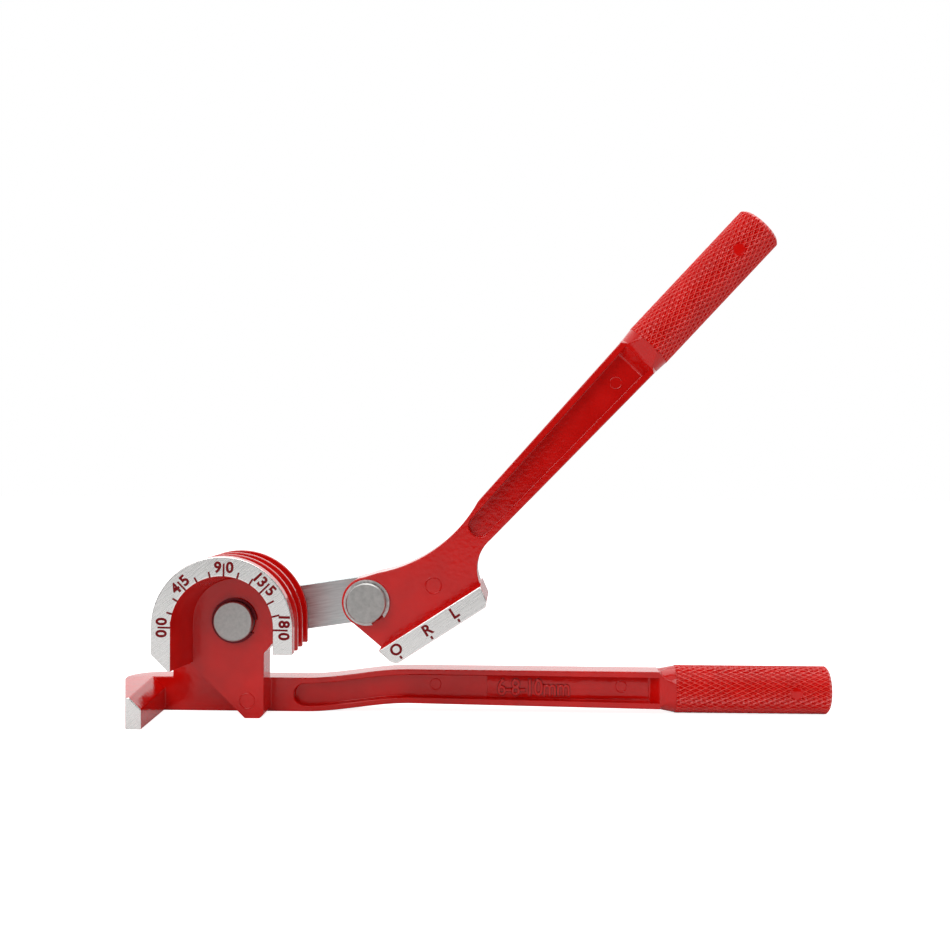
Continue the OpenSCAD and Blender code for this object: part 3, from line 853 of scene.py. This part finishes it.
class BENDER_OT_ejector_marks(PieceOperator, bpy.types.Operator):
    """Casts the ejector pins' round marks"""

    bl_idname = "bender.ejector_marks"
    bl_label = "Ejector marks"

    def execute(self, context):
        for name, body, place, rings in (("former_ejector_marks", "former_body", FORMER_PLACE, FORMER_RINGS),
                                         ("shoe_ejector_marks", "shoe_body", HANDLE_PLACE, SHOE_RINGS)):
            bm = bmesh.new()
            for radius, spot in rings:
                raised_ring(bm, radius, RING_SECTION, place @ Matrix.Translation(spot))
            bmesh.ops.recalc_face_normals(bm, faces=bm.faces)
            make_piece(name, bm, [kept("Red gloss paint")], body)
        return {"FINISHED"}


class BENDER_OT_link(PieceOperator, bpy.types.Operator):
    """Rounds the steel link's edges"""

    bl_idname = "bender.link"
    bl_label = "Link"

    def execute(self, context):
        bm = merged_copy("link_plate")
        bm = soften(bm, context.scene.bender_sizes.strap_edge)
        piece = make_piece("link_strap", bm, [kept("Zinc plate")], "link_body",
                           ["link_plate"])
        even_shading(piece)
        return {"FINISHED"}


class BENDER_OT_pivots(PieceOperator, bpy.types.Operator):
    """Finishes the pins, snap rings and spring washers"""

    bl_idname = "bender.pivots"
    bl_label = "Pins, rings and washers"

    def execute(self, context):
        # The shoe's ring gets the painted highlight, the former's the dark steel with a painted red reflection
        for end, ring in (("former", "Spring steel"), ("shoe", "Bright ring")):
            finishes = {"pin": "Pin steel", "snap_ring": ring, "spring_washer": "Spring steel"}
            for part, name in finishes.items():
                mesh = frame["nodes"][f"{end}_{part}"].data
                mesh.materials.clear()
                mesh.materials.append(kept(name))
        return {"FINISHED"}


# Stage

# Camera: place from the former's axis at the ground face, its turn, and its lens for a square picture
CAMERA_PLACE = FORMER_PLACE @ Vector((100.87 * MM, -440 * MM, 57.34 * MM))
CAMERA_YAW = math.radians(-1.591)
CAMERA_PITCH = math.radians(-0.431)
CAMERA_ROLL = math.radians(0.28)
CAMERA_LENS = 47.944
CAMERA_SENSOR = 36
FLOOR_SIZE = 6
FLOOR_COLOUR = (0.85, 0.85, 0.85, 1)
WHITE = (1, 1, 1, 1)
# Lamps: name, place, width and the setting that holds the power
LAMPS = [("key", (-0.45, -0.75, 0.75), 0.7, "key_power"), ("top", (0.1, 0.15, 1.0), 0.9, "top_power")]
# What reflections show: a dim room in front, the backdrop behind, and white overhead, by direction
ROOM_STRENGTH = 0.03
BACKDROP_SPAN = (-0.35, 0.25)
OVERHEAD_SPAN = (0.45, 0.8)


class BENDER_OT_stage(PieceOperator, bpy.types.Operator):
    """Sets the floor, the light and the camera"""

    bl_idname = "bender.stage"
    bl_label = "Stage"

    def execute(self, context):
        scene = context.scene
        scene.view_settings.view_transform = "Standard"
        make_floor(scene)
        make_world(scene)
        make_lamps(scene)
        make_camera(scene)
        return {"FINISHED"}


def weighed_rays(tree, weights):
    """The sum of the kinds of ray, each times its weight."""
    path = tree.nodes.new("ShaderNodeLightPath")
    total = None
    for ray, weight in weights.items():
        part = tree.nodes.new("ShaderNodeMath")
        part.operation = "MULTIPLY_ADD" if total else "MULTIPLY"
        part.inputs[1].default_value = weight
        tree.links.new(path.outputs[ray], part.inputs[0])
        if total:
            tree.links.new(total, part.inputs[2])
        total = part.outputs[0]
    return total


def make_floor(scene):
    """A pale floor that stays white for the camera."""
    bm = bmesh.new()
    bmesh.ops.create_grid(bm, x_segments=1, y_segments=1, size=FLOOR_SIZE / 2)
    mesh = bpy.data.meshes.new("floor")
    bm.to_mesh(mesh)
    bm.free()
    material = bpy.data.materials.new("Pale floor")
    material.use_nodes = True
    tree = material.node_tree
    shader = tree.nodes["Principled BSDF"]
    shader.inputs["Base Color"].default_value = FLOOR_COLOUR
    shader.inputs["Roughness"].default_value = 0.9
    shader.inputs["Specular IOR Level"].default_value = 0
    shader.inputs["Emission Color"].default_value = WHITE
    stage = scene.bender_stage
    glow = weighed_rays(tree, {"Is Camera Ray": stage.floor_glow, "Is Glossy Ray": stage.floor_shine})
    tree.links.new(glow, shader.inputs["Emission Strength"])
    mesh.materials.append(material)
    floor = bpy.data.objects.new("floor", mesh)
    scene.collection.objects.link(floor)


def make_world(scene):
    """Even light, with a white background behind the object and a dim room in front of it."""
    world = bpy.data.worlds.new("Studio")
    world.use_nodes = True
    scene.world = world
    tree = world.node_tree
    background = tree.nodes["Background"]
    background.inputs["Color"].default_value = WHITE
    coordinates = tree.nodes.new("ShaderNodeTexCoord")
    parts = tree.nodes.new("ShaderNodeSeparateXYZ")
    tree.links.new(coordinates.outputs["Generated"], parts.inputs["Vector"])
    back = tree.nodes.new("ShaderNodeMapRange")
    back.inputs["From Min"].default_value, back.inputs["From Max"].default_value = BACKDROP_SPAN
    back.inputs["To Min"].default_value = ROOM_STRENGTH
    back.inputs["To Max"].default_value = scene.bender_stage.backdrop
    tree.links.new(parts.outputs["Y"], back.inputs["Value"])
    above = tree.nodes.new("ShaderNodeMapRange")
    above.inputs["From Min"].default_value, above.inputs["From Max"].default_value = OVERHEAD_SPAN
    tree.links.new(parts.outputs["Z"], above.inputs["Value"])
    either = tree.nodes.new("ShaderNodeMath")
    either.operation = "MAXIMUM"
    tree.links.new(back.outputs["Result"], either.inputs[0])
    tree.links.new(above.outputs["Result"], either.inputs[1])
    path = tree.nodes.new("ShaderNodeLightPath")
    lit = tree.nodes.new("ShaderNodeMix")
    lit.data_type = "FLOAT"
    lit.inputs["A"].default_value = scene.bender_stage.ambient
    tree.links.new(path.outputs["Is Glossy Ray"], lit.inputs["Factor"])
    tree.links.new(either.outputs[0], lit.inputs["B"])
    seen = tree.nodes.new("ShaderNodeMix")
    seen.data_type = "FLOAT"
    seen.inputs["B"].default_value = 1
    tree.links.new(path.outputs["Is Camera Ray"], seen.inputs["Factor"])
    tree.links.new(lit.outputs["Result"], seen.inputs["A"])
    tree.links.new(seen.outputs["Result"], background.inputs["Strength"])


def aimed(place, target):
    """Turn that points a lamp from a place to a target."""
    return (Vector(target) - Vector(place)).to_track_quat("-Z", "Y").to_euler()


def make_lamps(scene):
    """Soft lamps that point at the middle of the bender."""
    middle = (CAD_BOX[0] + CAD_BOX[1]) / 2
    for name, place, width, power in LAMPS:
        light = bpy.data.lights.new(name, "AREA")
        light.size = width
        light.energy = getattr(scene.bender_stage, power)
        lamp = bpy.data.objects.new(name, light)
        lamp.location = place
        lamp.rotation_euler = aimed(place, middle)
        scene.collection.objects.link(lamp)


def make_camera(scene):
    """The photograph's camera."""
    data = bpy.data.cameras.new("camera")
    data.lens = CAMERA_LENS
    data.sensor_width = CAMERA_SENSOR
    camera = bpy.data.objects.new("camera", data)
    camera.rotation_mode = "QUATERNION"
    level = Matrix.Rotation(math.radians(90), 4, "X")
    turn = (Matrix.Rotation(-CAMERA_YAW, 4, "Z") @ Matrix.Rotation(CAMERA_PITCH, 4, "X") @ level
            @ Matrix.Rotation(CAMERA_ROLL, 4, "Z"))
    camera.rotation_quaternion = turn.to_quaternion()
    camera.location = CAMERA_PLACE
    scene.collection.objects.link(camera)
    scene.camera = camera


# Add-on

OPERATORS = (
    BENDER_OT_former_casting,
    BENDER_OT_shoe_casting,
    BENDER_OT_grips,
    BENDER_OT_dial_marks,
    BENDER_OT_shoe_marks,
    BENDER_OT_size_plate,
    BENDER_OT_ejector_marks,
    BENDER_OT_link,
    BENDER_OT_pivots,
    BENDER_OT_stage,
)


class BENDER_PT_panel(bpy.types.Panel):
    """Lists the bender's pieces and sizes"""

    bl_idname = "BENDER_PT_panel"
    bl_label = "Tube bender"
    bl_space_type = "VIEW_3D"
    bl_region_type = "UI"
    bl_category = "Tube bender"

    def draw(self, context):
        scene = context.scene
        for group in (scene.bender_sizes, scene.bender_finish, scene.bender_stage):
            box = self.layout.box()
            for name in group.bl_rna.properties.keys():
                if name not in ("rna_type", "name"):
                    box.prop(group, name)
        for operator in OPERATORS:
            self.layout.operator(operator.bl_idname)


PROPERTIES = {"bender_sizes": BenderSizes, "bender_finish": BenderFinish, "bender_stage": BenderStage}
CLASSES = (*PROPERTIES.values(), *OPERATORS, BENDER_PT_panel)


def register():
    for item in CLASSES:
        bpy.utils.register_class(item)
    for name, group in PROPERTIES.items():
        setattr(bpy.types.Scene, name, PointerProperty(type=group))


def unregister():
    for name in PROPERTIES:
        delattr(bpy.types.Scene, name)
    for item in reversed(CLASSES):
        bpy.utils.unregister_class(item)


def main():
    register()
    for operator in OPERATORS:
        group, name = operator.bl_idname.split(".")
        getattr(getattr(bpy.ops, group), name)()


if __name__ == "__main__":
    main()
